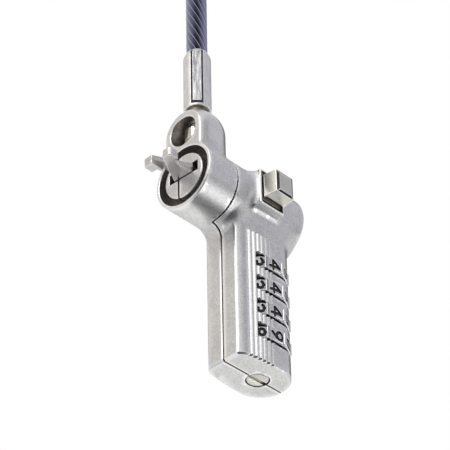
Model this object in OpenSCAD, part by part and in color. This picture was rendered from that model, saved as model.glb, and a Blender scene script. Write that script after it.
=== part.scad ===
// Laptop cable lock with a four-wheel combination.
// Millimetres. The origin is the centre of the collar's front rim, on the barrel's axis.
// The hooks point to -X, the number wheels and the button face -Y, and the cable leaves to +Z.

/* [Barrel] */
// Outer radius of the barrel
barrel_r = 9.2; // [8.8:0.1:9.6]
// Length of the barrel, from the front rim to the back
barrel_len = 34.2; // [33.5:0.1:35]
// Length of the one-piece front collar
collar_len = 9.8; // [9:0.1:10.5]
// Radius of the groove around the nose
groove_r = 8.25; // [8:0.05:8.4]
// Depth of the groove around the nose
groove_depth = 8; // [5:0.5:8.5]

/* [Nose and hooks] */
// Radius of the nose plug
nose_r = 6.3; // [6.1:0.1:6.5]
// Length of the nose plug
nose_len = 15; // [14.5:0.1:15.2]
// Width of the slot that the jaws work in
slot_w = 9.6; // [9.4:0.1:9.8]
// Height of the slot that the jaws work in
slot_h = 3; // [2.9:0.1:3.2]
// Height of the middle of the slot above the barrel's axis
slot_z = 0.9; // [0.5:0.1:1.2]
// How far the lower hook reaches in front of the rim
hook_reach = 8.6; // [8.2:0.1:9]
// How far the upper hook reaches in front of the rim
far_hook_reach = 9.2; // [8.8:0.1:9.6]
// Height of a hook
hook_h = 2.5; // [2.3:0.1:2.6]
// Distance from the middle to the lower hook's outer side
hook_out = 3.9; // [3.8:0.1:4]
// Distance from the middle to the upper hook's outer side
far_hook_out = 4.4; // [4.2:0.1:4.5]
// Distance of the nose's seam from the middle, on the side away from the wheels
nose_seam = 1.7; // [1.4:0.1:2]

/* [Cable end] */
// Radius of the round lobe that holds the swivel
lobe_r = 7.4; // [7.2:0.1:7.5]
// Height of the lobe's centre above the barrel's axis
lobe_z = 13.9; // [13.8:0.1:14.1]
// Distance of the lobe's centre behind the front rim
lobe_x = 4.6; // [4.5:0.1:4.9]
// Distance of the cable's axis behind the front rim
cable_x = 5.4; // [5.2:0.1:5.6]
// Radius of the round window in the lobe
window_r = 4.15; // [3.9:0.05:4.3]
// Outer radius of the ferrule
ferrule_r = 3.55; // [3.4:0.05:3.7]
// Outer radius of the plastic covered cable
cable_r = 2.7; // [2.5:0.05:2.8]

/* [Handle] */
// Front of the handle, measured from the rim
handle_x = 12.9; // [12.5:0.1:13.2]
// Length of the handle along the barrel
handle_len = 20.5; // [20.4:0.1:20.8]
// Half the thickness of the handle
handle_half = 7.2; // [7:0.1:7.4]
// Depth of the handle below the barrel's axis
handle_drop = 48.2; // [48:0.1:49]

/* [Wheels] */
// Outer radius of a number wheel
dial_r = 8.2; // [8.1:0.05:8.25]
// Height of a number wheel
dial_h = 3.4; // [3.2:0.1:3.5]
// Distance from one wheel to the next
dial_pitch = 6.85; // [6.8:0.05:6.9]
// Depth of the middle of the top wheel below the barrel's axis
first_dial = 19; // [18.8:0.1:19.2]
// Distance of the wheels' axis behind the front rim
dial_x = 24.9; // [24.8:0.05:25]

/* [Button] */
// Length of the button along the barrel
button_l = 6.8; // [6.6:0.1:6.8]
// Height of the button
button_h = 7; // [6.6:0.1:7.2]
// Distance of the button's face from the barrel's axis
button_face = 15.4; // [15:0.1:15.6]
// How far the button can be pushed in
button_travel = 2.5; // [2:0.1:2.6]

/* [Hidden] */
$fn = 64;
eps = 0.01;
far = 100;
// How far a cut runs past the face that it opens
over = 1;

steel = [0.62, 0.60, 0.57];
nickel = [0.78, 0.78, 0.77];
bright = [0.86, 0.86, 0.85];
jacket = [0.22, 0.24, 0.32];

// Gaps: between pieces that move past each other, and around the wheels
run_gap = 0.15;
shaft_gap = 0.05;
wheel_gap = 0.4;

// Handle outline
bevel = 1.7;
front_half = 4.5;
side_crown_r = 52;
crown_x = handle_x + 12;
rear_r = 7.2;
handle_end = handle_x + handle_len;
neck_z = -5;

// Finger ribs on the near side
rib_count = 6;
rib_first = 16.35;
rib_pitch = 1.37;
rib_w = 0.75;
rib_rise = 0.15;
rib_top = -11.4;

// Inside of the barrel
cavity_r = 7.6;
rear_wall = 3.2;
cavity_end = barrel_len - rear_wall;

// Inside of the handle
well_r = dial_r + 0.4;
window_x = 17.9;
window_side = 3;
hub_r = 4.95;
hub_h = 5;
hub_bore = 2.45;
core_r = hub_r + 0.3;
core_top = -first_dial + 3.5;
spindle_r = 2.2;
fin_r = 3.6;
recess_r = 4;
recess_h = 2;
fin_h = 0.8;
fin_w = 1;
fin_gap = 0.1;
spindle_top = -6.1;
spindle_low = -43.4;
screw_r = 2.9;
screw_gap = 0.1;
screw_top = -45.6;
screw_face = -47.9;
leaf_x = 15.9;
leaf_t = 0.3;
leaf_w = 1.2;
leaf_low = -43.4;
leaf_top = -15.4;
leaf_room = 0.3;
dowel_r = 0.8;
dowel_x = 14.4;
dowel_half = 3;
dowel_z = [-14, -30, -45.5];

// Jaws
pivot_x = 6;
pivot_r = 1;
pin_low = -4.2;
pin_high = 5.4;
jaw_root = 3.1;
jaw_front = 0.2;
shoulder_x = 8.2;
tail_x = 9.6;
tail_side = 0.4;
tail_end = 15.5;
tail_in = 0.9;
tail_out = 2.6;
lap_gap = 0.1;
hook_w = 2.4;
far_hook_w = 2.8;
far_hook_deep = 4.2;
hook_len = 2.9;
hook_corner = 0.4;
neck_x = 3.6;
neck_y = 2.7;
neck_in = 2.2;
hook_low = slot_z - hook_h / 2;

// Button frame and button foot
boss_x = 16.2;
boss_end = 24.5;
boss_half = 5.2;
boss_y = 10.85;
boss_rim = 0.35;
pocket_y = 10;
button_x = 20.4;
button_edge = 0.7;
foot_y = 8.6;
foot_t = 1;
foot_rim = 0.6;
wedge = 0.6;
wedge_tip = 22.6;
wedge_back = 23.6;
wedge_y = 1;
wedge_w = 3;
slider_rest_gap = 1.1;
slider_x = nose_len + wedge * button_travel + slider_rest_gap;
slider_half = 4.7;
slider_low = -5.8;
slider_high = slot_z + 1.5;
prong_tip = 13.5;
prong_gap = 3.4;
prong_end = slider_x + over;
prong_out = 4.5;
// How far the prongs lean in: at the tails at rest, at the tails when pressed, at their root
prong_rest = 0.45;
prong_pressed = 1;
prong_root = 1.2;
spring_z = -3.9;
spring_r = 1.2;
spring_wire = 0.2;
spring_turns = 6;
spring_room = 0.4;
spring_pocket = 3;

// Swivel, ferrule and cable loop
pin_r = 2.1;
pin_head_r = 3.3;
pin_head_z = 12;
pin_head_h = 4;
pin_face_r = 1.9;
pin_taper = 1.2;
lobe_top = lobe_z + lobe_r;
window_z = lobe_z - 0.1;
washer_z = lobe_top + 0.15;
washer_r = 3;
ferrule_z = 22.6;
ferrule_top = 40;
ferrule_tip = 41.8;
ferrule_lip = 0.35;
pin_top = ferrule_z + 6;
cable_start = 40;
sleeve_z = 72;
sleeve_top = 86;
sleeve_r = 4.1;
loop_end = 74;
loop_x = 10.9;
cable_sides = 10;
// Route of the cable, up from the ferrule, through the sleeve, round the eye and back
route = concat(
    [for (z = [cable_start, 44, 50, 58, 66, 74, 82, 86]) [cable_x, 0, z]],
    [[5, 0, 91], [3, 0, 96], [-1, 0, 101], [-6, 0, 106], [-10, 0, 112], [-12, 0, 119],
     [-12, 0, 126], [-9, 0, 133], [-4, 0, 138], [2, 0, 141], [8, 0, 142], [14, 0, 141],
     [20, 0, 138], [25, 0, 133], [28, 0, 126], [28, 0, 119], [26, 0, 112], [22, 0, 106],
     [17, 0, 101], [13, 0, 96], [11, 0, 91]],
    [for (z = [86, 80, loop_end]) [loop_x, 0, z]]);

function dial_z(i) = -first_dial - (i - 1) * dial_pitch;

// A tube swept along a route that lies in one upright plane, with closed ends
function ring_at(pts, i) =
    let (a = pts[max(i - 1, 0)], b = pts[min(i + 1, len(pts) - 1)],
         d = (b - a) / norm(b - a), side = [0, 1, 0], up = cross(d, side))
    [side, up];
module swept_tube(pts, r, sides) {
    last = len(pts) - 1;
    points = [for (i = [0:last]) let (f = ring_at(pts, i)) for (k = [0:sides - 1])
        pts[i] + r * (cos(360 * k / sides) * f[0] + sin(360 * k / sides) * f[1])];
    walls = [for (i = [0:last - 1]) for (k = [0:sides - 1])
        [i * sides + k, (i + 1) * sides + k,
         (i + 1) * sides + (k + 1) % sides, i * sides + (k + 1) % sides]];
    start = [[for (k = [0:sides - 1]) k]];
    finish = [[for (k = [0:sides - 1]) last * sides + sides - 1 - k]];
    polyhedron(points, concat(start, walls, finish));
}

// A coil spring that stands on Z = 0
module coil(r, wire, height, turns) {
    steps = 14;
    sides = 6;
    last = turns * steps;
    tilt = atan(height / turns / (2 * PI * r));
    points = [for (i = [0:last]) let (a = 360 * i / steps, z = wire + (height - 2 * wire) * i / last)
        for (k = [0:sides - 1]) let (c = wire * cos(360 * k / sides), s = wire * sin(360 * k / sides))
        [(r + c) * cos(a) + s * sin(tilt) * sin(a), (r + c) * sin(a) - s * sin(tilt) * cos(a),
         z + s * cos(tilt)]];
    walls = [for (i = [0:last - 1]) for (k = [0:sides - 1])
        [i * sides + k, i * sides + (k + 1) % sides,
         (i + 1) * sides + (k + 1) % sides, (i + 1) * sides + k]];
    start = [[for (k = [0:sides - 1]) sides - 1 - k]];
    finish = [[for (k = [0:sides - 1]) last * sides + k]];
    polyhedron(points, concat(start, walls, finish));
}

module along_x(x, r, length, y = 0, z = 0) {
    translate([x, y, z]) rotate([0, 90, 0]) cylinder(r = r, h = length);
}
module upright(r, z0, z1, x = dial_x, y = 0) {
    translate([x, y, z0]) cylinder(r = r, h = z1 - z0);
}
module block(x0, x1, y0, y1, z0, z1) {
    translate([x0, y0, z0]) cube([x1 - x0, y1 - y0, z1 - z0]);
}

// The handle's cross-section: bevelled front, crowned sides, rounded back
module handle_outline() {
    intersection() {
        polygon([[handle_x, -front_half], [handle_x + bevel, -front_half - bevel],
            [handle_x + 3 * bevel, -handle_half], [handle_end, -handle_half],
            [handle_end, handle_half], [handle_x + 3 * bevel, handle_half],
            [handle_x + bevel, front_half + bevel], [handle_x, front_half]]);
        translate([crown_x, side_crown_r - handle_half]) circle(r = side_crown_r, $fn = 180);
        translate([crown_x, handle_half - side_crown_r]) circle(r = side_crown_r, $fn = 180);
        union() {
            translate([0, -handle_half]) square([handle_end - rear_r, 2 * handle_half]);
            translate([handle_end - rear_r, 0]) circle(r = rear_r, $fn = 96);
        }
    }
}

// The outside of both shells together
module body_mass() {
    along_x(0, barrel_r, barrel_len);
    intersection() {
        union() {
            translate([lobe_x, 0, lobe_z]) sphere(r = lobe_r);
            upright(lobe_r, 0, lobe_z, lobe_x);
        }
        block(0, far, -far, far, 0, far);
    }
    translate([0, 0, -handle_drop]) linear_extrude(handle_drop + neck_z) handle_outline();
    block(boss_x, boss_end, -boss_y, 0, -boss_half, boss_half);
    translate([0, 0, -handle_drop]) linear_extrude(rib_top + handle_drop) intersection() {
        translate([crown_x, side_crown_r - handle_half]) circle(r = side_crown_r + rib_rise, $fn = 180);
        for (i = [0:rib_count - 1])
            translate([rib_first + i * rib_pitch - rib_w / 2, -2 * handle_half])
                square([rib_w, 2 * handle_half]);
    }
}

// Everything that is hollow inside the two shells
module body_hollows() {
    difference() {
        along_x(-eps, groove_r, groove_depth + eps);
        along_x(-over, nose_r, groove_depth + 2 * over);
    }
    along_x(-over, nose_r, nose_len + over + eps);
    along_x(nose_len, cavity_r, cavity_end - nose_len);
    // Swivel window and the hole for the swivel pin
    along_x(-over, window_r, cable_x + window_r + over, 0, window_z);
    upright(pin_r + shaft_gap, lobe_z, lobe_top + over, cable_x);
    // Recess in the button's frame, its opening and the room for its foot
    block(boss_x + boss_rim, boss_end - boss_rim, -far, -pocket_y,
        -boss_half + boss_rim, boss_half - boss_rim);
    button_room(run_gap, -far, -cavity_r + over);
    block(button_x - button_l / 2 - foot_rim - run_gap, button_x + button_l / 2 + foot_rim + run_gap,
        -foot_y - run_gap, 0, -button_h / 2 - foot_rim - run_gap, button_h / 2 + foot_rim + run_gap);
    // Wheel wells with their side windows
    for (i = [1:4]) {
        upright(well_r, dial_z(i) - dial_h / 2 - wheel_gap, dial_z(i) + dial_h / 2 + wheel_gap);
        for (side = [0, 1]) mirror([0, side, 0])
            block(window_x, dial_x, -far, -window_side,
                dial_z(i) - dial_h / 2 - wheel_gap, dial_z(i) + dial_h / 2 + wheel_gap);
    }
    upright(core_r, screw_top, core_top);
    upright(spindle_r + shaft_gap, core_top - over, -cavity_r + over);
    upright(screw_r + screw_gap, -far, screw_top + eps);
    block(leaf_x - leaf_room, dial_x, -leaf_w - leaf_room, leaf_w + leaf_room,
        leaf_low - leaf_room, leaf_top + leaf_room);
    for (z = dowel_z) translate([dowel_x, dowel_half, z]) rotate([90, 0, 0])
        cylinder(r = dowel_r, h = 2 * dowel_half);
}

module button_room(gap, y0, y1) {
    block(button_x - button_l / 2 - gap, button_x + button_l / 2 + gap, y0, y1,
        -button_h / 2 - gap, button_h / 2 + gap);
}

// The near shell takes the -Y half behind the collar
module near_side() {
    block(collar_len, far, -far, 0, -far, barrel_r + over);
}

module main_housing() {
    color(nickel) difference() {
        body_mass();
        body_hollows();
        near_side();
    }
}

module dial_housing() {
    color(nickel) difference() {
        intersection() {
            body_mass();
            near_side();
        }
        body_hollows();
    }
}

module shell_dowels() {
    color(steel) for (z = dowel_z) translate([dowel_x, dowel_half, z]) rotate([90, 0, 0])
        cylinder(r = dowel_r, h = 2 * dowel_half);
}

module nose_plug() {
    difference() {
        along_x(0, nose_r, nose_len);
        block(-over, far, -slot_w / 2, slot_w / 2, slot_z - slot_h / 2, slot_z + slot_h / 2);
        upright(pivot_r, pin_low, pin_high, pivot_x);
    }
}
module nose_half_far() {
    color(nickel) difference() {
        nose_plug();
        block(-over, far, -far, nose_seam, -far, far);
    }
}
module nose_half_near() {
    color(nickel) difference() {
        nose_plug();
        block(-over, far, nose_seam, far, -far, far);
    }
}

// Seen from above: a wedge that narrows from the slot to its hook, with a tail behind the pivot
module jaw_outline(reach, out, w) {
    polygon([[-reach, -out + hook_corner], [-reach + hook_corner, -out], [hook_len - reach, -out],
        [hook_len - reach, -neck_y], [-neck_x, -neck_in], [jaw_front, -jaw_root],
        [shoulder_x, -jaw_root], [tail_x, tail_side], [tail_end, tail_in], [tail_end, tail_out],
        [shoulder_x, jaw_root], [jaw_front, jaw_root], [-reach, w - out]]);
}
module hook_outline(reach, out, w, deep) {
    intersection() {
        jaw_outline(reach, out, w);
        translate([-reach, -out]) square([deep, w]);
    }
}
module jaw(z0, z1, reach, out, w, deep) {
    difference() {
        union() {
            translate([0, 0, z0]) linear_extrude(z1 - z0) jaw_outline(reach, out, w);
            translate([0, 0, hook_low]) linear_extrude(hook_h) hook_outline(reach, out, w, deep);
        }
        upright(pivot_r + shaft_gap, -far, far, pivot_x);
    }
}
module lower_jaw() {
    color(steel) jaw(hook_low, slot_z - lap_gap / 2, hook_reach, hook_out, hook_w, hook_len);
}
module upper_jaw() {
    color(steel) mirror([0, 1, 0])
        jaw(slot_z + lap_gap / 2, hook_low + hook_h,
            far_hook_reach, far_hook_out, far_hook_w, far_hook_deep);
}
module jaw_pin() {
    color(steel) upright(pivot_r, pin_low, pin_high, pivot_x);
}

// Fork that squeezes the jaws' tails, with a ramp for the button and a pocket for its spring
module drive_slider() {
    ramp_x = wedge_tip - run_gap;
    color(steel) difference() {
        union() {
            translate([0, 0, slider_low]) linear_extrude(slider_high - slider_low)
                polygon([[slider_x, -slider_half],
                    [ramp_x - wedge * (slider_half - wedge_y), -slider_half],
                    [ramp_x, -wedge_y], [ramp_x, slider_half], [slider_x, slider_half]]);
            for (side = [0, 1]) mirror([0, side, 0])
                translate([0, 0, slot_z - slot_h / 2 + run_gap]) linear_extrude(slot_h - 2 * run_gap)
                    polygon([[prong_tip, prong_gap], [tail_end, prong_gap - prong_rest],
                        [tail_end + wedge * button_travel, prong_gap - prong_pressed],
                        [prong_end, prong_gap - prong_root],
                        [prong_end, prong_out], [prong_tip, prong_out]]);
        }
        along_x(slider_x - eps, spring_r + spring_room, spring_pocket, 0, spring_z);
    }
}
module slider_spring() {
    color(steel) translate([nose_len, 0, spring_z]) rotate([0, 90, 0])
        coil(spring_r, spring_wire, slider_x + spring_pocket - nose_len - 2 * eps, spring_turns);
}

module push_button() {
    wide = button_l / 2;
    high = button_h / 2;
    color(bright) {
        difference() {
            button_room(0, -button_face, -foot_y + foot_t);
            // Bevels around the face
            for (side = [-1, 1]) {
                translate([button_x + side * wide, -button_face, 0]) rotate([0, 0, 45])
                    cube([button_edge, button_edge, 2 * high + over], center = true);
                translate([button_x, -button_face, side * high]) rotate([45, 0, 0])
                    cube([2 * wide + over, button_edge, button_edge], center = true);
            }
        }
        block(button_x - wide - foot_rim, button_x + wide + foot_rim, -foot_y, -foot_y + foot_t,
            -high - foot_rim, high + foot_rim);
        translate([0, 0, -wedge_w / 2]) linear_extrude(wedge_w)
            polygon([[wedge_tip, -wedge_y], [wedge_back, -wedge_y], [wedge_back, -foot_y + foot_t],
                [wedge_tip - wedge * (foot_y - foot_t - wedge_y), -foot_y + foot_t]]);
    }
}

module dial(i) {
    rim = 0.3;
    color(bright) translate([dial_x, 0, dial_z(i)]) rotate_extrude($fn = 100)
        polygon([[hub_r, -dial_h / 2], [dial_r - rim, -dial_h / 2], [dial_r, -dial_h / 2 + rim],
            [dial_r, dial_h / 2 - rim], [dial_r - rim, dial_h / 2], [hub_r, dial_h / 2]]);
}
module dial_1() dial(1);
module dial_2() dial(2);
module dial_3() dial(3);
module dial_4() dial(4);

// A ring that turns with its wheel: a recess and a gate for the spindle's fin
module clutch_hub(i) {
    gate_w = 1.4;
    gate_h = 4;
    low = dial_z(i) - hub_h / 2;
    color(steel) difference() {
        upright(hub_r, low, low + hub_h);
        upright(hub_bore, low - over, low + hub_h + over);
        upright(recess_r, low - over, low + recess_h);
        block(dial_x, dial_x + recess_r, -gate_w / 2, gate_w / 2, low - over, low + gate_h);
    }
}
module clutch_hub_1() clutch_hub(1);
module clutch_hub_2() clutch_hub(2);
module clutch_hub_3() clutch_hub(3);
module clutch_hub_4() clutch_hub(4);

module hub_spacers() {
    spacer_h = 0.8;
    side_gap = 0.1;
    color(steel) for (i = [1:4]) let (low = dial_z(i) + hub_h / 2 + side_gap) difference() {
        upright(core_r, low, low + spacer_h);
        upright(recess_r, -far, far);
    }
}

module spindle() {
    color(steel) {
        upright(spindle_r, spindle_low, spindle_top);
        for (i = [1:4]) {
            fin_z = dial_z(i) - hub_h / 2 + recess_h - fin_gap - fin_h;
            block(dial_x, dial_x + fin_r, -fin_w / 2, fin_w / 2, fin_z, fin_z + fin_h);
        }
    }
}
module spindle_spring() {
    coil_r = 1.6;
    wire = 0.18;
    turns = 3;
    color(steel) translate([dial_x, 0, screw_top + eps])
        coil(coil_r, wire, spindle_low - screw_top - 2 * eps, turns);
}

// One leaf with a finger on the collar of every hub
module detent_spring() {
    tip_gap = 0.06;
    finger_w = 1.2;
    finger_z = 0.1;
    finger_t = 0.4;
    color(steel) {
        block(leaf_x, leaf_x + leaf_t, -leaf_w, leaf_w, leaf_low, leaf_top);
        for (i = [1:4])
            let (low = dial_z(i) - hub_h / 2 + finger_z)
                block(leaf_x, dial_x - hub_r - tip_gap, -finger_w / 2, finger_w / 2, low, low + finger_t);
    }
}

module reset_screw() {
    slot_wide = 0.9;
    slot_deep = 0.9;
    color(bright) difference() {
        upright(screw_r, screw_face, screw_top);
        block(0, far, -slot_wide / 2, slot_wide / 2, -far, screw_face + slot_deep);
    }
}

module swivel_pin() {
    color(bright) {
        translate([cable_x, 0, 0]) rotate_extrude()
            polygon([[0, pin_head_z], [pin_face_r, pin_head_z], [pin_head_r, pin_head_z + pin_taper],
                [pin_head_r, pin_head_z + pin_head_h], [pin_r, pin_head_z + pin_head_h],
                [pin_r, pin_top], [0, pin_top]]);
    }
}
module swivel_washer() {
    color(steel) difference() {
        upright(washer_r, washer_z, ferrule_z, cable_x);
        upright(pin_r, 0, far, cable_x);
    }
}
module ferrule() {
    color(bright) translate([cable_x, 0, 0]) rotate_extrude()
        polygon([[pin_r, ferrule_z], [ferrule_r, ferrule_z], [ferrule_r, ferrule_top],
            [cable_r + ferrule_lip, ferrule_tip], [cable_r, ferrule_tip], [cable_r, cable_start],
            [0, cable_start], [0, pin_top], [pin_r, pin_top]]);
}
module cable() {
    color(jacket) swept_tube(route, cable_r, cable_sides);
}
// Oval sleeve pressed over the two runs of cable under the eye
module loop_sleeve() {
    color(bright) difference() {
        union() {
            upright(sleeve_r, sleeve_z, sleeve_top, cable_x);
            upright(sleeve_r, sleeve_z, sleeve_top, loop_x);
            block(cable_x, loop_x, -sleeve_r, sleeve_r, sleeve_z, sleeve_top);
        }
        upright(cable_r, 0, far, cable_x);
        upright(cable_r, loop_end, far, loop_x);
    }
}

main_housing();
dial_housing();
shell_dowels();
nose_half_near();
nose_half_far();
lower_jaw();
upper_jaw();
jaw_pin();
drive_slider();
slider_spring();
push_button();
dial_1();
dial_2();
dial_3();
dial_4();
clutch_hub_1();
clutch_hub_2();
clutch_hub_3();
clutch_hub_4();
hub_spacers();
spindle();
spindle_spring();
detent_spring();
reset_screw();
swivel_pin();
swivel_washer();
ferrule();
cable();
loop_sleeve();
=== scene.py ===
"""Looks of the laptop cable lock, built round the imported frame.

Shapes are signed distances in millimetres, meshed on a grid, and every mesh is in metres.
The frame: origin at the collar's front rim, hooks to -X, wheels and button to -Y, cable to +Z.
"""

import math
from functools import reduce

import bpy
import numpy as np
import openvdb as vdb
from mathutils import Matrix, Vector


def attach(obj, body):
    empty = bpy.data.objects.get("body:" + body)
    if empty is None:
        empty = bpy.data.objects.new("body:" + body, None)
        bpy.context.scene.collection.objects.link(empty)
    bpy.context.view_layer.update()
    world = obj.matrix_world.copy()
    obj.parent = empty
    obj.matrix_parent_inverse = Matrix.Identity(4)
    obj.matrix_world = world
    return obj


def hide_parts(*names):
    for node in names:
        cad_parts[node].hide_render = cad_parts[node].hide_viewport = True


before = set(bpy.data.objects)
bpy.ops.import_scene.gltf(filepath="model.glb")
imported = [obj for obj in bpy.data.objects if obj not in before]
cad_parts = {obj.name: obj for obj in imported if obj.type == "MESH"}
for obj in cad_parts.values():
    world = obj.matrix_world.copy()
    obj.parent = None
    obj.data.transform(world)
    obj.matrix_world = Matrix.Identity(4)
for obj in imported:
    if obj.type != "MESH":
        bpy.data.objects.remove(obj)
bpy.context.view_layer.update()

MM = 0.001

# ---------------- dimensions, in mm
# Names in _EDGE and _FILLET are radii on outward edges and in corners

# Starts and ends of cutters that only have to be clear of the part
AHEAD, BESIDE, BELOW = -1.0, -20.0, -60.0

# Barrel, collar, and the groove between collar and nose
BARREL_R, BARREL_END, BARREL_EDGE = 9.2, 34.2, 0.9
COLLAR_END, COLLAR_EDGE = 9.8, 0.28
GROOVE_R, GROOVE_DEPTH, GROOVE_EDGE = 8.25, 8.0, 0.22
CHAMBER_R, CHAMBER_END = 7.65, 31.0

# Nose plug in two halves, with the slot for the jaws
NOSE_R, NOSE_FACE, NOSE_END, NOSE_EDGE = 6.3, 0.15, 15.0, 0.4
NOSE_SEAM, NOSE_GAP, NOSE_GAP_EDGE = 1.7, 0.24, 0.08
NOSE_ROOM = 0.02
SLOT_HALF, SLOT_LOW, SLOT_HIGH, SLOT_END = 4.8, -0.6, 2.4, 20.0
PIVOT_X, PIVOT_LOW, PIVOT_HIGH = 6.0, -4.2, 5.4
PIVOT_HOLE_R, JAW_HOLE_R = 1.02, 1.06

# Hooks of the jaws; the upper one is the longer and wider
HOOK_LOW, HOOK_HIGH, HOOK_THICK = -0.35, 2.15, 2.9
HOOK_BEVEL = 0.4

# Round lobe of the swivel, from its ball's middle, and its window
LOBE, LOBE_R, LOBE_TOP = (4.6, 0.0, 13.9), 7.4, 21.2
LOBE_EDGE, LOBE_FILLET = 0.3, 0.7
WINDOW_R, WINDOW_Z, WINDOW_EDGE = 4.15, 13.8, 0.35
CABLE_X = 5.4
WINDOW_DEPTH = CABLE_X + WINDOW_R + 1

# Handle
HANDLE_X, HANDLE_END, HANDLE_HALF = 12.9, 33.4, 7.2
HANDLE_LOW, HANDLE_TOP = -48.2, -2.0
HANDLE_FILLET = 3.0
FRONT_HALF, FRONT_LEAN, FRONT_SPARE, FRONT_EDGE = 4.5, math.radians(31), 0.1, 0.25
CROWN_X, CROWN_R, CROWN_EDGE = 24.9, 52.0, 1.4
REAR_R, REAR_EDGE = 7.2, 0.3
FOOT_BEVEL, FOOT_EDGE = 0.32, 0.1

# Finger ribs on the handle's near side
RIB_COUNT, RIB_FIRST, RIB_PITCH = 6, 16.35, 1.37
RIB_LAST = RIB_FIRST + RIB_PITCH * (RIB_COUNT - 1)
RIB_LEAD, RIB_TAIL, RIB_FADE = 0.7, 0.45, 0.15
RIB_TOP, RIB_RUN_START, RIB_RUN = -11.4, 0.35, 0.45
CREST_HIGH, CREST_HALF = 0.32, 0.5
VALLEY_DEEP, VALLEY_START, VALLEY_RUN = 0.26, 0.3, 0.38

# Frame round the button: start and end in x, half height, face; then its rim and pocket
BOSS = (16.2, 24.5, 5.2, -10.85)
BOSS_EDGE, BOSS_FILLET = 0.3, 2.2
RIM, POCKET_Y = 0.42, -10.0

# Button: cap, foot that keeps it in, wedge that drives the slider, and the holes they run in
BUTTON_X, BUTTON_FACE = 20.4, -15.4
CAP_HALF_X, CAP_HALF_Z, CAP_END = 2.95, 3.28, -7.6
TAPER_X, TAPER_Z, TAPER_DEPTH = 0.11, 0.05, 4
CAP_LEAN, CAP_BEVEL_X, CAP_BEVEL_Z = math.radians(62), 0.9, 0.8
FOOT_HALF_X, FOOT_HALF_Z, FOOT_FACE = 4.0, 4.1, -8.6
WEDGE = [(22.6, -1.0), (23.6, -1.0), (23.6, CAP_END), (18.64, CAP_END)]
WEDGE_HALF = 1.5
CAP_HOLE_X, CAP_HOLE_Z, CAP_HOLE_END = 3.57, 3.67, -6.5
FOOT_HOLE_X, FOOT_HOLE_Z, FOOT_HOLE_FACE = 4.15, 4.25, -8.75

# Number wheels, their wells and windows, and the bores in the handle: radius, low, high, edge
DIAL_X, DIAL_R, DIAL_HALF = 24.9, 8.2, 1.7
DIAL_Z = [-19.0 - 6.85 * i for i in range(4)]
FACET_R, INK_R, WHEEL_BORE_R = 8.02, 7.72, 4.97
SECTOR, RIDGE_TURN = 36.0, 25.5
RIDGE_HIGH, RIDGE_SHIFT, RIDGE_HALF = 0.16, 0.08, 0.45
WELL_R, WELL_HALF, WELL_EDGE = 8.6, 2.1, 0.16
WINDOW_X, WINDOW_FLOOR = 17.9, 3.0
HUB_BORE = (5.3, -45.7, -15.4, 0.0)
SPINDLE_BORE = (2.3, -17.0, -6.4, 0.0)
SCREW_BORE = (2.99, BELOW, -45.5, 0.08)
DETENT_X, DETENT_HALF, DETENT_LOW, DETENT_HIGH = 15.6, 1.7, -43.8, -15.0
DOWEL_X, DOWEL_R, DOWEL_HALF = 14.4, 0.81, 3.0
DOWEL_Z = (-14.0, -30.0, -45.5)

# Reset screw
SCREW_R, SCREW_LOW, SCREW_TOP, SCREW_EDGE = 2.94, -48.18, -45.6, 0.75
SCREW_SLOT_HALF, SCREW_SLOT_TOP = 0.5, -47.3

# Seam between the shells: gap, radius on the near shell, radius on the far one
SEAM, SEAM_EDGE, FAR_EDGE = 0.36, 0.1, 0.03

# Swivel: stud, washer and crimped ferrule
STUD_R, STUD_HEAD_R, STUD_LOW, STUD_END = 2.1, 3.3, 12.0, 28.6
STUD_HOLE_R, STUD_HOLE_LOW, STUD_HOLE_TOP = 2.2, 13.9, 24.0
WASHER_R, WASHER_LOW, RING_HOLE_R = 3.0, 21.45, 2.12
FERRULE_R, FERRULE_LOW, FERRULE_TIP = 3.55, 22.6, 41.8
SHOULDER_Z, SHOULDER_SLOPE = 40.0, 0.45
CRIMP_TURN, CRIMP_LOW, CRIMP_OUT, CRIMP_HALF = math.radians(223.0), 23.3, 3.2, 1.22
BORDER_OUT, BORDER_MIDDLE, BORDER_HALF = 2.95, 1.34, 0.22
HEEL_HALF, HEEL_TOP = 1.3, 24.3

# Cable with its eye, and the sleeve that closes the eye
CABLE_R, STRANDS, LAY = 2.7, 11, -33.0
STRAND_RELIEF, CABLE_ROOM = 0.02, 0.02
LEG_X = 10.9
SLEEVE_LOW, SLEEVE_HIGH, SLEEVE_R, SLEEVE_EDGE = 72.0, 86.0, 4.1, 0.7
SLEEVE_RINGS, RING_DEPTH_R, RING_HALF, RING_EDGE = (75.5, 79.0, 82.5), 3.8, 0.75, 0.3
ROUTE = [(CABLE_X, z) for z in (40, 44, 50, 58, 66, 74, 82, 86)]
ROUTE += [(5, 91), (3, 96), (-1, 101), (-6, 106), (-10, 112), (-11.9, 119), (-11.9, 126), (-9, 133),
          (-4, 138), (2, 141), (8, 142), (14, 141), (20, 138), (25, 133), (28, 126), (28, 119),
          (26, 112), (22, 106), (17, 101), (13, 96), (11, 91)]
ROUTE += [(LEG_X, z) for z in (86, 80, 74)]


# ---------------- signed distances
def pair(a, b, edge=0.0):
    """Where both solids are, with that radius on the edge between them."""
    if not edge:
        return np.maximum(a, b)
    inside = np.minimum(-edge, np.maximum(a, b))
    return inside + np.hypot(np.maximum(a + edge, 0), np.maximum(b + edge, 0))


def join(a, b, fillet=0.0):
    """Both solids together, with that radius in the corner between them."""
    if not fillet:
        return np.minimum(a, b)
    outside = np.maximum(fillet, np.minimum(a, b))
    return outside - np.hypot(np.maximum(fillet - a, 0), np.maximum(fillet - b, 0))


def cut(a, b, edge=0.0):
    """The first solid less the second."""
    return pair(a, -b, edge)


def between(t, low, high):
    """Distance to a slab across one axis."""
    return np.maximum(low - t, t - high)


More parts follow.
